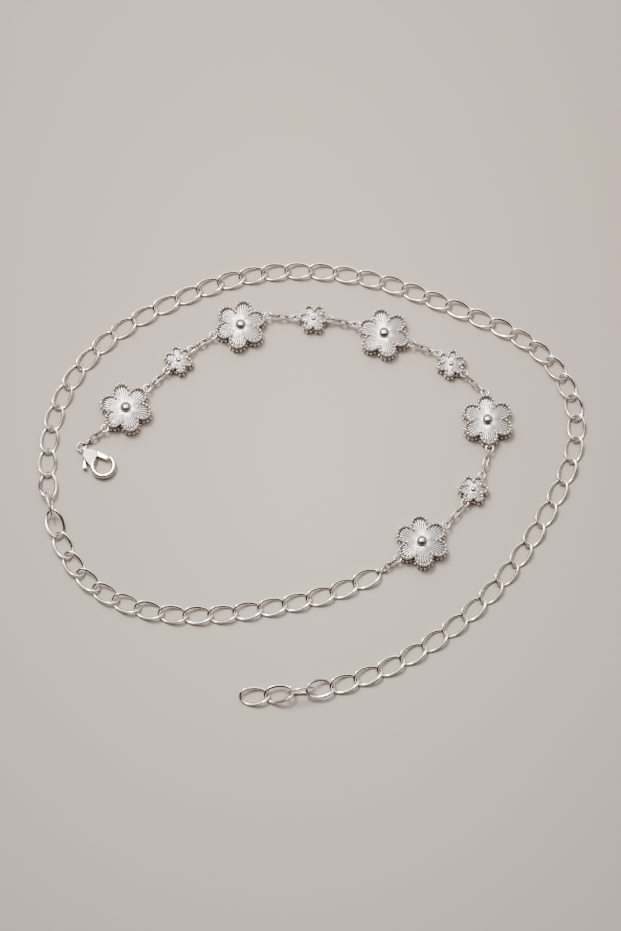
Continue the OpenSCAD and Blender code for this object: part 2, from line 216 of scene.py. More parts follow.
# The room's own light, and where it is dim, on the camera's side and low down: where each
# starts and ends, as how far a direction's arrow points towards the far side or upwards, and
# its share of the light
WORLD_LIGHT = 0.42
NEAR_EDGE = (-0.25, 0.1)
NEAR_SHARE = 0.45
LOW_EDGE = (0.08, 0.5)
LOW_SHARE = 0.2
# Its darkest part, over and behind the camera: where that starts and ends towards the near
# side, upwards and to either side, and its share of the light
DARK_NEAR = (0.02, 0.16)
DARK_UP = (0.4, 0.55)
DARK_SIDE = (0.8, 0.62)
DARK_SHARE = 0.12

# Length of the camera's sensor in millimetres, and how near and far it sees, in metres
SENSOR = 36.0
CLIP = (0.01, 20.0)


def length(name, description, millimetres):
    """A property that holds a length, with its default given in millimetres."""
    return FloatProperty(name=name, description=description, default=millimetres * MM,
                         min=0.0, unit="LENGTH", subtype="DISTANCE", precision=5)


def colour(name, description, red, green, blue):
    """A property that holds a colour."""
    return FloatVectorProperty(name=name, description=description, default=(red, green, blue),
                               min=0.0, max=1.0, size=3, subtype="COLOR")


class LinkSizes(bpy.types.PropertyGroup):
    """Sizes of the links and rings."""

    curb_length: length("Curb link length", "Outer length of a curb link", 11.8)
    curb_width: length("Curb link width", "Outer width of a curb link", 7.1)
    curb_wire: length("Curb wire width", "Width of the curb links' wire on their sides", 1.3)
    curb_tip_wire: length("Curb wire width at the ends", "Width of that wire at the ends", 1.0)
    curb_thin: length("Curb wire thickness", "Thickness of that wire across its flats", 0.88)
    curb_twist: length("Curb link twist", "How far the wire leaves the link's plane", 0.78)
    oval_length: length("Oval link length", "Outer length of an oval link", 4.75)
    oval_width: length("Oval link width", "Outer width of an oval link", 2.4)
    oval_wire: length("Oval link wire", "Thickness of the oval links' wire", 0.7)
    ring_width: length("Jump ring width", "Outer diameter of the jump ring", 4.3)
    ring_wire: length("Jump ring wire", "Thickness of the jump ring's wire", 0.7)


class RosetteSizes(bpy.types.PropertyGroup):
    """Sizes of the rosettes."""

    petals: IntProperty(name="Petals", description="Petals of a rosette", default=6, min=3)
    large_reach: length("Large reach", "From a large rosette's centre to a petal's tip", 10.4)
    small_reach: length("Small reach", "From a small rosette's centre to a petal's tip", 5.95)
    large_height: length("Large height", "Height of a large rosette's rim", 4.3)
    small_height: length("Small height", "Height of a small rosette's rim", 3.7)
    large_dome: length("Large dome", "Diameter of a large rosette's domed centre", 4.3)
    small_dome: length("Small dome", "Diameter of a small rosette's domed centre", 2.3)
    large_eye: length("Large eye", "Outer diameter of a large rosette's eyes", 3.46)
    small_eye: length("Small eye", "Outer diameter of a small rosette's eyes", 3.16)
    large_eye_reach: length("Large eye reach", "From a large rosette's centre to an eye's", 11.5)
    small_eye_reach: length("Small eye reach", "From a small rosette's centre to an eye's", 6.48)
    eye_height: length("Eye height", "Level of the eyes' middle", 2.95)
    eye_wire: length("Eye wire", "Thickness of the eyes' wire", 0.66)
    petal_share: FloatProperty(name="Petal share", description="Petal radius as a share of reach",
                               default=0.356, min=0.1, max=0.6, subtype="FACTOR")
    bead: length("Bead", "Diameter of the beads along the edges", 1.12)
    bead_spacing: length("Bead spacing", "Distance between the beads' centres", 1.5)
    stud: length("Stud", "Diameter of the studs between the petals", 1.15)
    face_drop: length("Face drop", "Depth of the face below the rim", 0.65)
    large_flutes: IntProperty(name="Large flutes", description="Flutes round a large face",
                              default=54, min=12)
    small_flutes: IntProperty(name="Small flutes", description="Flutes round a small face",
                              default=36, min=12)
    flute_depth: FloatProperty(name="Flute depth", description="Depth of a flute for its width",
                               default=0.4, min=0.0, max=0.5, subtype="FACTOR")


class Finish(bpy.types.PropertyGroup):
    """Colours of the metals and of the surface below them."""

    metal: colour("Metal", "Curb links, domes, eyes and the clasp's bright part", 0.78, 0.71, 0.665)
    satin: colour("Satin", "Fluted faces and the clasp's satin part", 0.68, 0.625, 0.59)
    # Worn metal is the link metal darkened as painted shade: the shade and dark reflections of the
    # oval links and jump ring
    worn: colour("Worn metal", "Oval links and jump ring", 0.42, 0.378, 0.35)
    # The beads colour is lighter than the metal: a painted highlight on the beads and studs
    beads: colour("Beads", "Burnished beads and studs", 0.98, 0.9, 0.85)
    # The recess colour is painted shade: dark metal for the rosettes' walls, rim and underside and
    # the hollows between and below the beads
    recess: colour("Recess", "Darkened metal between and below the beads", 0.3, 0.275, 0.255)
    surface: colour("Surface", "What the chain lies on", 0.47, 0.409, 0.36)


class CameraPlace(bpy.types.PropertyGroup):
    """Where the camera stands and how wide it sees."""

    target_x: FloatProperty(name="Target X", description="Middle of the view, across",
                            default=-0.7 * MM, unit="LENGTH", subtype="DISTANCE")
    target_y: FloatProperty(name="Target Y", description="Middle of the view, away from the camera",
                            default=5.6 * MM, unit="LENGTH", subtype="DISTANCE")
    elevation: FloatProperty(name="Elevation", description="Angle of the view above the surface",
                             default=math.radians(71), unit="ROTATION", subtype="ANGLE")
    distance: length("Distance", "From the camera to the middle of the view", 995.6)
    lens: FloatProperty(name="Lens", description="Focal length for a sensor 36 mm long",
                        default=100.0, min=10.0, unit="CAMERA")


class WaistChain(bpy.types.PropertyGroup):
    """Everything that a user can set."""

    links: PointerProperty(type=LinkSizes)
    rosettes: PointerProperty(type=RosetteSizes)
    finish: PointerProperty(type=Finish)
    camera: PointerProperty(type=CameraPlace)


class Value:
    """A node's output that works in Python expressions, each adding its Math node."""

    def __init__(self, nodes, socket):
        self.nodes = nodes
        self.socket = socket

    def math(self, operation, *others):
        inputs = dict(enumerate((self, *others)))
        return self.nodes.add("ShaderNodeMath", {"operation": operation}, inputs)

    def reflected(self, operation, first):
        return self.nodes.add("ShaderNodeMath", {"operation": operation}, {0: first, 1: self})

    def __add__(self, other):
        return self.math("ADD", other)

    def __sub__(self, other):
        return self.math("SUBTRACT", other)

    def __mul__(self, other):
        return self.math("MULTIPLY", other)

    def __truediv__(self, other):
        return self.math("DIVIDE", other)

    def __pow__(self, other):
        return self.math("POWER", other)

    def __rsub__(self, other):
        return self.reflected("SUBTRACT", other)

    __radd__ = __add__
    __rmul__ = __mul__


class Nodes:
    """The node tree of a material or of the world."""

    def __init__(self, owner):
        self.owner = owner
        owner.use_nodes = True
        self.tree = owner.node_tree
        self.tree.nodes.clear()

    def add(self, kind, options=None, inputs=None, output=0):
        """Adds a node with its options and its inputs' values or links. Returns an output of it."""
        node = self.tree.nodes.new(kind)
        for name, value in (options or {}).items():
            setattr(node, name, value)
        for name, value in (inputs or {}).items():
            if isinstance(value, Value):
                self.tree.links.new(value.socket, node.inputs[name])
            else:
                node.inputs[name].default_value = value
        return Value(self, node.outputs[output])

    def place(self):
        """The point on the object."""
        return self.add("ShaderNodeTexCoord", output="Object")

    def axis(self, vector, name):
        """One of a vector's three values."""
        return self.add("ShaderNodeSeparateXYZ", None, {"Vector": vector}, output=name)

    def noise(self, vector, scale, detail):
        return self.add("ShaderNodeTexNoise", None, {
            "Vector": vector, "Scale": scale, "Detail": detail})

    def clamp_range(self, value, low, high, to_low=0.0, to_high=1.0):
        """The value's range from low to high, spread from to_low to to_high and kept in it."""
        return self.add("ShaderNodeMapRange", {"clamp": True}, {
            "Value": value, "From Min": low, "From Max": high, "To Min": to_low, "To Max": to_high})

    def blend(self, factor, first, second):
        """A colour between two colours."""
        return self.add("ShaderNodeMix", {"data_type": "RGBA"}, {
            "Factor": factor, 6: first, 7: second}, output=2)

    def bump(self, height, distance, normal=None):
        inputs = {"Height": height, "Distance": distance, "Strength": 1.0}
        if normal is not None:
            inputs["Normal"] = normal
        return self.add("ShaderNodeBump", None, inputs)

    def finish(self, **inputs):
        """Ends the tree in a Principled surface and returns the material."""
        named = {name.replace("_", " "): value for name, value in inputs.items()}
        surface = self.add("ShaderNodeBsdfPrincipled", None, named, output="BSDF")
        self.end(surface, "ShaderNodeOutputMaterial")
        return self.owner

    def end(self, surface, kind):
        self.tree.links.new(surface.socket, self.tree.nodes.new(kind).inputs["Surface"])


def shade(rgb, share):
    """A colour made lighter or darker, as four numbers."""
    return (*(channel * share for channel in rgb), 1.0)


def shades(rgb, shares):
    """One colour made lighter or darker by each share."""
    return [shade(rgb, share) for share in shares]


def polished_metal(name, base, roughness):
    """Polished plating with faint haze, fingermarks, hairline scratches and soft unevenness."""
    nodes = Nodes(bpy.data.materials.new(name))
    place = nodes.place()
    haze_marks = nodes.noise(place, scale=260.0, detail=4.0)
    rub = nodes.noise(place, scale=1900.0, detail=2.0)
    stretched = nodes.add("ShaderNodeMapping", None, {"Vector": place, "Scale": (1.0, 9.0, 3.0)})
    hairlines = nodes.noise(stretched, scale=5200.0, detail=2.0)
    tone = nodes.clamp_range(haze_marks, 0.35, 0.7)
    varied = nodes.blend(tone, *shades(base, HAZE_TONES))
    rough = roughness + HAZE * nodes.clamp_range(haze_marks * 0.6 + rub * 0.4, 0.42, 0.68)
    waves = nodes.bump(nodes.noise(place, scale=620.0, detail=1.0), DENTS)
    fine = nodes.bump(nodes.clamp_range(hairlines, 0.55, 0.75), HAIRLINES, waves)
    return nodes.finish(Base_Color=varied, Metallic=1.0, Roughness=rough, Normal=fine)


def cast_metal(name, finish):
    """Tumbled casting: bright on the hook and the lever, satin on the body by the ring."""
    nodes = Nodes(bpy.data.materials.new(name))
    place = nodes.place()
    marks = nodes.noise(place, scale=420.0, detail=4.0)
    pits = nodes.noise(place, scale=2400.0, detail=3.0)
    satin = nodes.add("ShaderNodeAttribute", {"attribute_name": SATIN}, output="Fac")
    worn = nodes.clamp_range(satin + marks * 0.3, 0.1, 1.15)
    tone = nodes.blend(worn, shade(finish.metal, CAST_BRIGHT), shade(finish.satin, CAST_SATIN))
    rough = CAST_ROUGHNESS + 0.1 * marks + 0.26 * worn
    waves = nodes.bump(marks, CAST_WAVES)
    normal = nodes.bump(pits * (0.2 + satin), CAST_PITS, waves)
    return nodes.finish(Base_Color=tone, Metallic=1.0, Roughness=rough, Normal=normal)


def fluted_metal(name, finish):
    """Satin metal of a rosette's face, brushed outwards from its middle and dull in its flutes,
    whose grooves are darkened with painted shade.
    """
    nodes = Nodes(bpy.data.materials.new(name))
    plane = nodes.add("ShaderNodeUVMap", {"uv_map": FACE_MAP})
    across, up = nodes.axis(plane, "X"), nodes.axis(plane, "Y")
    radius = (across * across + up * up) ** 0.5
    spread = nodes.add("ShaderNodeCombineXYZ", None, {
        "X": up.math("ARCTAN2", across) * BRUSH_STRETCH[0], "Y": radius * BRUSH_STRETCH[1]})
    brushed = nodes.noise(spread, scale=3.0, detail=3.0)
    groove = nodes.add("ShaderNodeAttribute", {"attribute_name": GROOVE}, output="Fac")
    marks = nodes.noise(nodes.place(), scale=300.0, detail=3.0)
    # Painted shade in the flutes' grooves, broken up by random marks
    worn = nodes.clamp_range(groove + marks * 0.3, 0.15, 0.9)
    tone = nodes.blend(worn, *shades(finish.satin, FLUTE_SHADE_TONES))
    rough = FACE_ROUGHNESS + 0.1 * brushed + 0.16 * worn
    normal = nodes.bump(brushed, BRUSHING)
    return nodes.finish(Base_Color=tone, Metallic=DULL_METAL, Roughness=rough, Normal=normal)


def shaded_recess_metal(name, finish):
    """Metal darkened as painted shade on the rosette's body and between and below the beads,
    with random grime, and dull where polishing never reaches.
    """
    nodes = Nodes(bpy.data.materials.new(name))
    place = nodes.place()
    grime = nodes.clamp_range(nodes.noise(place, scale=900.0, detail=4.0), 0.35, 0.7)
    tone = nodes.blend(grime, *shades(finish.recess, RECESS_TONES))
    rough = RECESS_ROUGHNESS + 0.2 * grime
    normal = nodes.bump(nodes.noise(place, scale=2600.0, detail=2.0), GRIME)
    return nodes.finish(Base_Color=tone, Metallic=DULL_METAL, Roughness=rough, Normal=normal)


def floor_material(finish):
    """Plain smooth surface, faintly mottled, with a painted falloff of the light: darker
    outwards, and darker and warmer on its far side.
    """
    nodes = Nodes(bpy.data.materials.new("pale_surface"))
    place = nodes.place()
    cloudy = nodes.noise(place, scale=9.0, detail=3.0)
    across = nodes.axis(place, "X") / PAINTED_FALLOFF_REACH[0]
    away = nodes.axis(place, "Y") / PAINTED_FALLOFF_REACH[1]
    outward = (across * across + away * away) ** 0.5
    even = nodes.blend(cloudy, *shades(finish.surface, MOTTLING))
    # Painted falloff of the light: the far side darker and warmer
    far_falloff_colour = [channel * share for channel, share in zip(finish.surface, FAR_FALLOFF_TINT)]
    far = nodes.clamp_range(away + 0.3 * across * across, -0.1, 1.1)
    with_far_falloff = nodes.blend(far, even, shade(far_falloff_colour, 1.0))
    # Painted falloff of the light outwards
    painted_falloff = nodes.clamp_range(outward, 0.1, 1.5)
    tone = nodes.blend(painted_falloff, with_far_falloff, shade(finish.surface, PAINTED_FALLOFF_SHARE))
    return nodes.finish(Base_Color=tone, Roughness=0.75, Specular_IOR_Level=0.2)


MATERIALS = {}


def material(make, name, *arguments):
    """The material of that name, made once."""
    if name not in MATERIALS:
        MATERIALS[name] = make(name, *arguments)
    return MATERIALS[name]


def link_metal():
    return material(polished_metal, "polished_links", settings().finish.metal, LINK_ROUGHNESS)


# A darkened metal that paints the shade and dark reflections of the oval links and jump ring
def painted_shade_link_metal():
    return material(polished_metal, "worn_links", settings().finish.worn, SHADED_LINK_ROUGHNESS)


def rosette_metal():
    return material(polished_metal, "polished_rosettes", settings().finish.metal, ROSETTE_ROUGHNESS)


def clasp_metal():
    return material(cast_metal, "cast_clasp", settings().finish)


# A lighter metal that paints the highlights of the beads and studs
def bead_metal():
    return material(polished_metal, "burnished_beads", settings().finish.beads, BEAD_ROUGHNESS)


def face_metal():
    return material(fluted_metal, "fluted_face", settings().finish)


def painted_shade_metal():
    return material(shaded_recess_metal, "recess", settings().finish)


def settings():
    return bpy.context.scene.waist_chain


def once(items):
    """The items in their order, each once."""
    return list(dict.fromkeys(items))


def polar(radius, angle):
    """A flat point from its distance and direction."""
    return Vector((radius * math.cos(angle), radius * math.sin(angle), 0.0))


def solids_of(node):
    """The triangles of each separate solid of a CAD node, as arrays of corner points."""
    bm = bmesh.new()
    bm.from_mesh(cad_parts[node].data)
    bmesh.ops.remove_doubles(bm, verts=bm.verts, dist=WELD)
    bmesh.ops.triangulate(bm, faces=bm.faces)
    seen, solids = set(), []
    for start in bm.faces:
        if start.index in seen:
            continue
        seen.add(start.index)
        group, edge = [], [start]
        while edge:
            face = edge.pop()
            group.append([corner.co[:] for corner in face.verts])
            for side in face.edges:
                for near in side.link_faces:
                    if near.index not in seen:
                        seen.add(near.index)
                        edge.append(near)
        solids.append(np.array(group))
    bm.free()
    return solids


def place_of(triangles):
    """Where a symmetric solid lies: its middle, with x along its longest way and z its shortest."""
    corner, second, third = triangles[:, 0], triangles[:, 1], triangles[:, 2]
    area = np.linalg.norm(np.cross(second - corner, third - corner), axis=1) / 2
    middle = (triangles.mean(axis=1) * area[:, None]).sum(axis=0) / area.sum()
    arms = triangles - middle
    total = arms.sum(axis=1)
    spread = (np.einsum("n,nij,nik->jk", area, arms, arms)
              + np.einsum("n,nj,nk->jk", area, total, total))
    axes = np.linalg.eigh(spread)[1][:, ::-1]
    axes[:, 2] *= -1.0 if axes[2, 2] < 0 else 1.0
    axes[:, 1] = np.cross(axes[:, 2], axes[:, 0])
    place = Matrix(axes.tolist()).to_4x4()
    place.translation = Vector(middle)
    return place


def place_of_node(node):
    return place_of(np.concatenate(solids_of(node)))


def upright(place):
    """The same place with its z axis straight up and its middle on the surface."""
    along = place.col[0].xyz
    level = Matrix.Rotation(math.atan2(along.y, along.x), 4, "Z")
    level.translation = Vector((place.translation.x, place.translation.y, 0.0))
    return level


def ring_of_wire(bm, radius, wire, steps, sides, shift=0.0):
    """Adds a round wire bent to a full circle about the z axis, and returns its vertices."""
    start = Matrix.Rotation(shift, 4, "Z") @ Matrix.Translation((radius, 0, 0))
    stand = start @ Matrix.Rotation(math.pi / 2, 4, "X")
    section = bmesh.ops.create_circle(bm, segments=sides, radius=wire / 2, matrix=stand)["verts"]
    edges = once(edge for vert in section for edge in vert.link_edges)
    before = set(bm.verts) - set(section)
    bmesh.ops.spin(bm, geom=section + edges, cent=(0, 0, 0), axis=(0, 0, 1), dvec=(0, 0, 0),
                   angle=FULL_TURN, steps=steps, use_merge=True, use_duplicate=False)
    return [vert for vert in bm.verts if vert not in before]


def flattened(across, over, width, thin, lean):
    """Moves a point of a round wire's section, given in radii, to a flat section that leans."""
    fit = (abs(across) ** SQUARENESS + abs(over) ** SQUARENESS) ** (-1 / SQUARENESS)
    across, over = across * fit * width / 2, over * fit * thin / 2
    return (across * math.cos(lean) - over * math.sin(lean),
            across * math.sin(lean) + over * math.cos(lean))


def bend_to_curb(vert, half_length, half_width, sizes, twist, lean, tilt):
    """Moves a vertex of a plain ring of wire to its place on a twisted curb link."""
    turn = math.atan2(vert.co.y, vert.co.x)
    side = math.sin(turn)
    width = sizes.curb_tip_wire + (sizes.curb_wire - sizes.curb_tip_wire) * side ** 2
    across = (math.hypot(vert.co.x, vert.co.y) - half_length) / (CAD_WIRE / 2)
    over = vert.co.z / (CAD_WIRE / 2)
    out, rise = flattened(across, over, width, sizes.curb_thin, lean + tilt * side)
    heading = Vector((-half_length * side, half_width * math.cos(turn),
                      -2 * twist * math.cos(2 * turn)))
    heading.normalize()
    up = (Vector((0, 0, 1)) - heading.z * heading).normalized()
    centre = Vector((half_length * math.cos(turn), half_width * side, -twist * math.sin(2 * turn)))
    vert.co = centre + out * heading.cross(up) + rise * up


def curb_link_mesh(sizes, twist, lean, tilt):
    """One curb link about its own middle, with the angles that its wire's flats lean by."""
    bm = bmesh.new()
    half_length = (sizes.curb_length - CAD_WIRE) / 2
    half_width = (sizes.curb_width - CAD_WIRE) / 2
    for vert in ring_of_wire(bm, half_length, CAD_WIRE, LINK_STEPS, CURB_SIDES):
        bend_to_curb(vert, half_length, half_width, sizes, twist, lean, tilt)
    return as_mesh(bm, "curb_link")


def oval_link_mesh(sizes):
    """One oval link about its own middle, with two round ends and two straight sides."""
    bm = bmesh.new()
    radius = (sizes.oval_width - sizes.oval_wire) / 2
    half_straight = (sizes.oval_length - sizes.oval_width) / 2
    half_step = FULL_TURN / OVAL_STEPS / 2
    for vert in ring_of_wire(bm, radius, sizes.oval_wire, OVAL_STEPS, WIRE_SIDES, half_step):
        vert.co.x += math.copysign(half_straight, vert.co.x)
    return as_mesh(bm, "oval_link")


def as_mesh(bm, name):
    """Ends a bmesh in a smooth mesh whose faces point outwards."""
    bmesh.ops.remove_doubles(bm, verts=bm.verts, dist=WELD)
    bmesh.ops.recalc_face_normals(bm, faces=bm.faces)
    for face in bm.faces:
        face.smooth = True
    mesh = bpy.data.meshes.new(name)
    bm.to_mesh(mesh)
    bm.free()
    return mesh


def add_copies(name, meshes, places, materials):
    """A new piece of copies of meshes, each at its place."""
    bm = bmesh.new()
    for mesh, place in zip(meshes, places):
        known = len(bm.verts)
        bm.from_mesh(mesh)
        bm.verts.ensure_lookup_table()
        bmesh.ops.transform(bm, matrix=place, verts=bm.verts[known:])
    joined = bpy.data.meshes.new(name)
    bm.to_mesh(joined)
    bm.free()
    return add_piece(name, joined, materials)


def add_piece(name, mesh, materials):
    piece = bpy.data.objects.new(name, mesh)
    bpy.context.scene.collection.objects.link(piece)
    for one in materials:
        mesh.materials.append(one)
    return piece


def dress(piece, body, slot, *nodes):
    """Puts a piece in the place of its CAD nodes."""
    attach(piece, body)
    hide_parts(*nodes)


class Rosette:
    """Outline and sizes of one kind of rosette."""

    def __init__(self, sizes, kind):
        for name in ("reach", "height", "dome", "eye", "eye_reach", "flutes"):
            setattr(self, name, getattr(sizes, f"{kind}_{name}"))
        self.petals = sizes.petals
        self.flute_depth = sizes.flute_depth
        self.radius = sizes.petal_share * self.reach
        self.petal_at = self.reach - self.radius
        self.face = self.height - sizes.face_drop
        half_gap = self.petal_at * math.sin(math.pi / self.petals)
        self.notch_at = self.petal_at * math.cos(math.pi / self.petals) + math.sqrt(
            self.radius ** 2 - half_gap ** 2)
        notch = polar(self.notch_at, math.pi / self.petals) - Vector((self.petal_at, 0, 0))
        self.petal_angle = math.atan2(notch.y, notch.x)
        self.notch_angle = 2 * self.petal_angle - FULL_TURN / self.petals

    def arcs(self, inset):
        """Each stretch of the outline: its centre, start, turn and radius."""
        for petal in range(self.petals):
            at = FULL_TURN * petal / self.petals
            start = at - self.petal_angle
            yield polar(self.petal_at, at), start, 2 * self.petal_angle, self.radius - inset
            corner = at + math.pi / self.petals
            back = at + self.petal_angle + math.pi
            yield polar(self.notch_at, corner), back, -self.notch_angle, inset

    def points(self, inset, spacing):
        """Points spaced evenly along the outline."""
        arcs = list(self.arcs(inset))
        total = sum(abs(turn) * radius for _, _, turn, radius in arcs)
        count = round(total / spacing)
        done, index = 0.0, 0
        for centre, start, turn, radius in arcs:
            run = abs(turn) * radius
            while index < count and index * total / count < done + run:
                share = (index * total / count - done) / run
                yield centre + polar(radius, start + turn * share)
                index += 1
            done += run

    def loop(self, bm, inset, height, scale):
        """Adds the outline as a closed loop of edges, and returns its edges."""
        known = set(bm.edges)
        first = last = None
        for centre, start, turn, radius in self.arcs(inset):
            if last is None:
                first = last = bm.verts.new(centre + polar(radius, start))
            steps = PETAL_STEPS if turn > 0 else NOTCH_STEPS
            swung = bmesh.ops.spin(bm, geom=[last], cent=centre, axis=(0, 0, 1), dvec=(0, 0, 0),
                                   angle=turn, steps=steps, use_merge=False, use_duplicate=False)
            last = next(item for item in swung["geom_last"] if isinstance(item, bmesh.types.BMVert))
        bmesh.ops.pointmerge(bm, verts=[first, last], merge_co=first.co)
        edges = [edge for edge in bm.edges if edge not in known]
        verts = once(vert for edge in edges for vert in edge.verts)
        bmesh.ops.scale(bm, vec=(scale, scale, 1.0), verts=verts)
        bmesh.ops.translate(bm, vec=(0, 0, height), verts=verts)
        return edges

    def reach_at(self, angle, inset):
        """How far the outline lies from the middle in a direction."""
        step = FULL_TURN / self.petals
        off = (angle + step / 2) % step - step / 2
        from_notch = step / 2 - abs(off)
        found = []
        in_petal = (self.radius - inset) ** 2 - (self.petal_at * math.sin(off)) ** 2
        if in_petal > 0:
            found.append(self.petal_at * math.cos(off) + math.sqrt(in_petal))
        in_notch = inset ** 2 - (self.notch_at * math.sin(from_notch)) ** 2
        if in_notch > 0:
            found.append(self.notch_at * math.cos(from_notch) - math.sqrt(in_notch))
        return min(found)

    def section(self):
        """The loops from the underside over the rim to the recess: inset, height and scale."""
        under = [(FOOT_SECTION[0][0] * MM, 0.0, scale) for scale in UNDER_SHARES]
        foot = [(inset * MM, height * MM, 1.0) for inset, height in FOOT_SECTION]
        rim = [(inset * MM, self.height - drop * MM, 1.0) for inset, drop in RIM_SECTION]
        inner = RIM_SECTION[-1][0] * MM
        recess = [(inner, self.face + rise * MM, scale) for scale, rise in RECESS_SECTION]
        return under + foot + rim + recess


def close_loop(bm, edges):
    """Draws a loop of edges together in one point in its middle."""
    verts = once(vert for edge in edges for vert in edge.verts)
    middle = sum((vert.co for vert in verts), Vector()) / len(verts)
    bmesh.ops.pointmerge(bm, verts=verts, merge_co=middle)


def add_body(bm, rosette):
    """Foot, wall, rim and recess, lofted through the outline's loops."""
    loops = [rosette.loop(bm, *row) for row in rosette.section()]
    for lower, upper in zip(loops, loops[1:]):
        for face in bmesh.ops.bridge_loops(bm, edges=lower + upper)["faces"]:
            # The whole body, walls and rim too, has the dark metal of painted shade
            face.material_index = PAINTED_SHADE_SLOT
    close_loop(bm, loops[0])
    close_loop(bm, loops[-1])


def add_face(bm, rosette, groove):
    """The fluted plate, as loops of points that dip at each flute's two edges."""
    width = FULL_TURN / rosette.flutes
    points = [((flute + place) * width, depth)
              for flute in range(rosette.flutes) for place, depth in FLUTE]
    loops = []
    for scale, rise, share in FACE_SECTION:
        verts = []
        for angle, depth in points:
            radius = scale * rosette.reach_at(angle, FACE_INSET)
            dip = depth * share * rosette.flute_depth * radius * width
            level = Vector((0, 0, rosette.face + rise * MM - dip))
            vert = bm.verts.new(polar(radius, angle) + level)
            vert[groove] = depth * share
            verts.append(vert)
        loops.append([bm.edges.new(pair) for pair in zip(verts, verts[1:] + verts[:1])])
    for outer, inner in zip(loops, loops[1:] + loops[:1]):
        for face in bmesh.ops.bridge_loops(bm, edges=outer + inner)["faces"]:
            face.material_index = FACE_SLOT


def add_lathe(bm, profile):
    """Turns a profile of radius and height, which starts and ends on the z axis, round it."""
    verts = [bm.verts.new((radius, 0.0, height)) for radius, height in profile]
    edges = [bm.edges.new(pair) for pair in zip(verts, verts[1:])]
    bmesh.ops.spin(bm, geom=verts + edges, cent=(0, 0, 0), axis=(0, 0, 1), dvec=(0, 0, 0),
                   angle=FULL_TURN, steps=LATHE_STEPS, use_merge=True, use_duplicate=False)


def add_boss(bm, rosette):
    """Dome in the middle of the face with a low collar round its foot."""
    dome = rosette.dome
    collar = [(share * dome, rosette.face + rise * dome) for share, rise in COLLAR_SECTION]
    ball = (dome ** 2 / 4 + (BOSS_RISE * dome) ** 2) / (2 * BOSS_RISE * dome)
    centre = rosette.face + BOSS_RISE * dome - ball
    edge = math.acos((collar[-1][1] - centre) / ball)
    arc = [edge * (1 - step / BOSS_STEPS) for step in range(BOSS_STEPS + 1)]
    top = [(ball * math.sin(angle), centre + ball * math.cos(angle)) for angle in arc]
    add_lathe(bm, [(0.0, collar[0][1])] + collar + top)


def add_ball(bm, at, diameter, facets):
    around, up = facets
    bmesh.ops.create_uvsphere(bm, u_segments=around, v_segments=up, radius=diameter / 2,
                              matrix=Matrix.Translation(at))


def give_slot(bm, known, slot):
    """Gives all faces but the first ones, which were there before, their material."""
    bm.faces.ensure_lookup_table()
    for face in bm.faces[known:]:
        face.material_index = slot


def add_beads(bm, rosette, sizes):
    """A row of beads on the rim and one round the foot."""
    known = len(bm.faces)
    rows = [(RIM_BEAD_INSET, rosette.height + RIM_BEAD_RISE), (FOOT_BEAD_INSET, FOOT_BEAD_HEIGHT)]
    for inset, height in rows:
        for point in rosette.points(inset, sizes.bead_spacing):
            add_ball(bm, point + Vector((0, 0, height)), sizes.bead, BEAD_FACETS)
    give_slot(bm, known, BEAD_SLOT)


def add_studs(bm, rosette, sizes):
    """A ball on a short foot in each notch between two petals."""
    reach = rosette.petal_at * math.cos(math.pi / rosette.petals) - STUD_INWARDS * sizes.stud
    lower, upper, depth = (share * sizes.stud for share in STUD_FOOT)
    known = len(bm.faces)
    for petal in range(rosette.petals):
        at = polar(reach, FULL_TURN * (petal + 0.5) / rosette.petals)
        add_ball(bm, at + Vector((0, 0, rosette.height - STUD_DROP)), sizes.stud, BALL_FACETS)
        foot = at + Vector((0, 0, rosette.face + STUD_FOOT_RISE * sizes.stud))
        bmesh.ops.create_cone(bm, cap_ends=True, segments=BALL_FACETS[0], radius1=lower,
                              radius2=upper, depth=depth, matrix=Matrix.Translation(foot))
    give_slot(bm, known, BEAD_SLOT)


def add_eyes(bm, rosette, sizes):
    """The two eyes that the oval links hang in, each with its lump of solder."""
    wire = sizes.eye_wire
    for side in (-1, 1):
        at = Vector((side * rosette.eye_reach, 0, sizes.eye_height))
        eye = ring_of_wire(bm, (rosette.eye - wire) / 2, wire, RING_STEPS, WIRE_SIDES)
        bmesh.ops.translate(bm, vec=at, verts=eye)
        lump = Vector((side * (rosette.reach - LUMP_INSET * wire), 0, sizes.eye_height))
        add_ball(bm, lump, LUMP_SIZE * wire, BALL_FACETS)


def rosette_mesh(rosette, sizes, name):
    """One rosette about its own middle, with its eyes on the x axis."""
    bm = bmesh.new()
    groove = bm.verts.layers.float.new(GROOVE)
    add_body(bm, rosette)
    add_face(bm, rosette, groove)
    add_boss(bm, rosette)
    add_beads(bm, rosette, sizes)
    add_studs(bm, rosette, sizes)
    add_eyes(bm, rosette, sizes)
    plane = bm.loops.layers.uv.new(FACE_MAP)
    for face in bm.faces:
        for corner in face.loops:
            corner[plane].uv = corner.vert.co.xy / rosette.reach
    return as_mesh(bm, name)


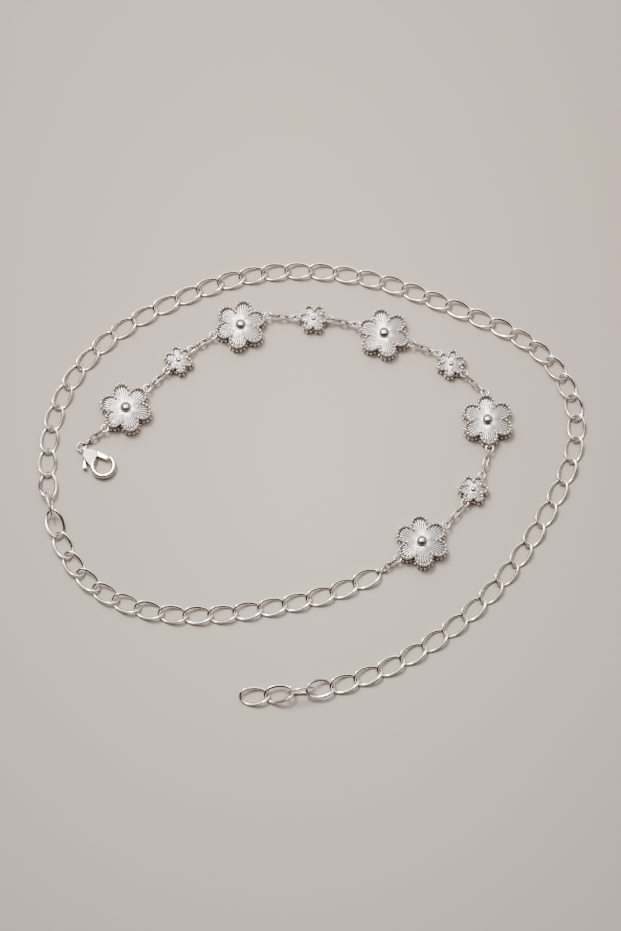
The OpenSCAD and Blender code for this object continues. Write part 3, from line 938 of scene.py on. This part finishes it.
def rounded_copy(name, node, grain, materials):
    """A CAD node's shape with all its edges worn round, as a new piece."""
    bm = bmesh.new()
    bm.from_mesh(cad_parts[node].data)
    bmesh.ops.remove_doubles(bm, verts=bm.verts, dist=WELD)
    mesh = bpy.data.meshes.new(name)
    bm.to_mesh(mesh)
    bm.free()
    piece = add_piece(name, mesh, [])
    remesh = piece.modifiers.new("fine", "REMESH")
    remesh.mode = "VOXEL"
    remesh.voxel_size = grain
    worn = piece.modifiers.new("worn", "SMOOTH")
    worn.factor = SMOOTHING
    worn.iterations = SMOOTH_PASSES
    regrown = piece.modifiers.new("regrown", "DISPLACE")
    regrown.mid_level = 0.0
    regrown.strength = REGROWN
    graph = bpy.context.evaluated_depsgraph_get()
    final = bpy.data.meshes.new_from_object(piece.evaluated_get(graph), depsgraph=graph)
    piece.modifiers.clear()
    piece.data = final
    bpy.data.meshes.remove(mesh)
    final.name = name
    for polygon in final.polygons:
        polygon.use_smooth = True
    for one in materials:
        final.materials.append(one)
    return piece


def mark_satin(piece, middle, towards):
    """Marks the part of the clasp that lies towards a point as satin."""
    way = (towards - middle).normalized()
    mark = piece.data.attributes.new(SATIN, "FLOAT", "POINT")
    for vert, value in zip(piece.data.vertices, mark.data):
        value.value = min(max(((vert.co - middle).dot(way) - SATIN_FROM) / SATIN_FADE, 0.0), 1.0)


class WAISTCHAIN_OT_curb_chain(bpy.types.Operator):
    """Build the long chain of twisted curb links"""

    bl_idname = "waist_chain.curb_chain"
    bl_label = "Curb chain"
    bl_options = {"REGISTER", "UNDO"}

    def execute(self, context):
        sizes = settings().links
        choose = random.Random(LEAN_SEED)
        for node in ("curb_chain_a", "curb_chain_b"):
            places = [place_of(solid) for solid in solids_of(node)]
            links = []
            for place in places:
                is_rolled = place.col[2].z < ROLLED_RISE
                twist = sizes.curb_twist * (ROLLED_TWIST if is_rolled else 1.0)
                lean = CURB_LEAN + CURB_LEAN_SPREAD * choose.uniform(-1, 1)
                tilt = CURB_TURN_SPREAD * choose.uniform(-1, 1)
                links.append(curb_link_mesh(sizes, twist, lean, tilt))
            piece = add_copies(node + "_links", links, places, [link_metal()])
            dress(piece, CHAIN_BODY, "link_metal", node)
        return {"FINISHED"}


class WAISTCHAIN_OT_oval_links(bpy.types.Operator):
    """Build the short oval links between the rosettes and the jump ring"""

    bl_idname = "waist_chain.oval_links"
    bl_label = "Oval links and jump ring"
    bl_options = {"REGISTER", "UNDO"}

    def execute(self, context):
        sizes = settings().links
        link = oval_link_mesh(sizes)
        for node in sorted(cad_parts):
            if node.startswith("oval_link_"):
                piece = add_copies(node + "_wire", [link], [place_of_node(node)], [painted_shade_link_metal()])
                dress(piece, CHAIN_BODY, "link_metal", node)
        bm = bmesh.new()
        radius = (sizes.ring_width - sizes.ring_wire) / 2
        ring_of_wire(bm, radius, sizes.ring_wire, RING_STEPS, WIRE_SIDES)
        place = place_of_node("jump_ring")
        ring = add_copies("jump_ring_wire", [as_mesh(bm, "ring")], [place], [painted_shade_link_metal()])
        dress(ring, CHAIN_BODY, "link_metal", "jump_ring")
        return {"FINISHED"}


class WAISTCHAIN_OT_rosettes(bpy.types.Operator):
    """Build the large and small rosettes"""

    bl_idname = "waist_chain.rosettes"
    bl_label = "Rosettes"
    bl_options = {"REGISTER", "UNDO"}

    def execute(self, context):
        sizes = settings().rosettes
        metals = [rosette_metal(), face_metal(), painted_shade_metal(), bead_metal()]
        for kind in ("large", "small"):
            start = f"rosette_{kind}_"
            mesh = rosette_mesh(Rosette(sizes, kind), sizes, start + "form")
            for node in sorted(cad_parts):
                if node.startswith(start):
                    place = upright(place_of_node(node))
                    piece = add_copies(node + "_flower", [mesh], [place], metals)
                    dress(piece, CHAIN_BODY, "rosette_metal", node)
        return {"FINISHED"}


class WAISTCHAIN_OT_clasp(bpy.types.Operator):
    """Build the lobster clasp's body and its lever"""

    bl_idname = "waist_chain.clasp"
    bl_label = "Clasp"
    bl_options = {"REGISTER", "UNDO"}

    def execute(self, context):
        body = rounded_copy("clasp_cast_body", "clasp_body", BODY_GRAIN, [clasp_metal()])
        middle = place_of_node("clasp_body").translation
        mark_satin(body, middle, place_of_node("jump_ring").translation)
        dress(body, CHAIN_BODY, "clasp_metal", "clasp_body")
        lever = rounded_copy("clasp_cast_lever", "clasp_lever", LEVER_GRAIN, [clasp_metal()])
        dress(lever, LEVER_BODY, "clasp_metal", "clasp_lever")
        return {"FINISHED"}


class WAISTCHAIN_OT_stage(bpy.types.Operator):
    """Lay the pale surface and set the soft lights and the camera"""

    bl_idname = "waist_chain.stage"
    bl_label = "Surface, lights and camera"
    bl_options = {"REGISTER", "UNDO"}

    def execute(self, context):
        bm = bmesh.new()
        bmesh.ops.create_grid(bm, x_segments=1, y_segments=1, size=FLOOR_HALF)
        bmesh.ops.translate(bm, vec=(0, 0, -FLOOR_DROP), verts=bm.verts)
        mesh = bpy.data.meshes.new("surface")
        bm.to_mesh(mesh)
        bm.free()
        floor = add_piece("surface", mesh, [floor_material(settings().finish)])
        floor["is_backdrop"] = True
        for name, at, size, power in LIGHTS:
            add_light(name, Vector(at), size, power)
        add_world()
        add_camera(settings().camera)
        return {"FINISHED"}


def add_light(name, at, size, power):
    """A rectangular soft box that faces the chain."""
    data = bpy.data.lights.new(name, "AREA")
    data.shape = "RECTANGLE"
    data.size, data.size_y = size
    data.energy = power
    data.color = LIGHT_TINT
    lamp = bpy.data.objects.new(name, data)
    lamp.location = at
    lamp.rotation_euler = (-at).to_track_quat("-Z", "Y").to_euler()
    bpy.context.scene.collection.objects.link(lamp)


def add_world():
    """A room that is light above and on the far side, and dark behind the camera and low down."""
    world = bpy.data.worlds.new("soft_light")
    nodes = Nodes(world)
    facing = nodes.add("ShaderNodeTexCoord", output="Generated")
    across, away, up = (nodes.axis(facing, name) for name in "XYZ")
    far = nodes.clamp_range(away, *NEAR_EDGE, NEAR_SHARE, 1.0)
    high = nodes.clamp_range(up, *LOW_EDGE, LOW_SHARE, 1.0)
    dark = nodes.clamp_range(0.0 - away, *DARK_NEAR) * nodes.clamp_range(up, *DARK_UP)
    dark = dark * nodes.clamp_range(across.math("ABSOLUTE"), *DARK_SIDE)
    light = far * high * (1.0 - (1.0 - DARK_SHARE) * dark) * WORLD_LIGHT
    sky = nodes.add("ShaderNodeBackground", None, {
        "Color": shade(LIGHT_TINT, 1.0), "Strength": light})
    nodes.end(sky, "ShaderNodeOutputWorld")
    bpy.context.scene.world = world


def add_camera(place):
    """The camera at the photograph's angle."""
    data = bpy.data.cameras.new("view")
    data.lens = place.lens
    data.sensor_width = SENSOR
    data.clip_start, data.clip_end = CLIP
    camera = bpy.data.objects.new("view", data)
    back = Vector((0, -math.cos(place.elevation), math.sin(place.elevation)))
    camera.location = Vector((place.target_x, place.target_y, 0)) + place.distance * back
    camera.rotation_euler = (-back).to_track_quat("-Z", "Y").to_euler()
    bpy.context.scene.collection.objects.link(camera)
    bpy.context.scene.camera = camera


class WAISTCHAIN_PT_panel(bpy.types.Panel):
    """Buttons and sizes of the waist chain"""

    bl_idname = "WAISTCHAIN_PT_panel"
    bl_label = "Waist Chain"
    bl_space_type = "VIEW_3D"
    bl_region_type = "UI"
    bl_category = "Waist Chain"

    def draw(self, context):
        for operator in OPERATORS:
            self.layout.operator(operator.bl_idname)
        chain = context.scene.waist_chain
        for group in (chain.links, chain.rosettes, chain.finish, chain.camera):
            box = self.layout.box()
            for name in group.__annotations__:
                box.prop(group, name)


GROUPS = (LinkSizes, RosetteSizes, Finish, CameraPlace, WaistChain)
OPERATORS = (WAISTCHAIN_OT_curb_chain, WAISTCHAIN_OT_oval_links, WAISTCHAIN_OT_rosettes,
             WAISTCHAIN_OT_clasp, WAISTCHAIN_OT_stage)
CLASSES = (*GROUPS, *OPERATORS, WAISTCHAIN_PT_panel)


def register():
    for one in CLASSES:
        bpy.utils.register_class(one)
    bpy.types.Scene.waist_chain = PointerProperty(type=WaistChain)


def unregister():
    del bpy.types.Scene.waist_chain
    for one in reversed(CLASSES):
        bpy.utils.unregister_class(one)


def main():
    register()
    bpy.ops.waist_chain.curb_chain()
    bpy.ops.waist_chain.oval_links()
    bpy.ops.waist_chain.rosettes()
    bpy.ops.waist_chain.clasp()
    bpy.ops.waist_chain.stage()
    boxes = {"cad": cad_box, "visual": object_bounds()}
    {name: [list(corner) for corner in box] for name, box in boxes.items()}


if __name__ == "__main__":
    main()
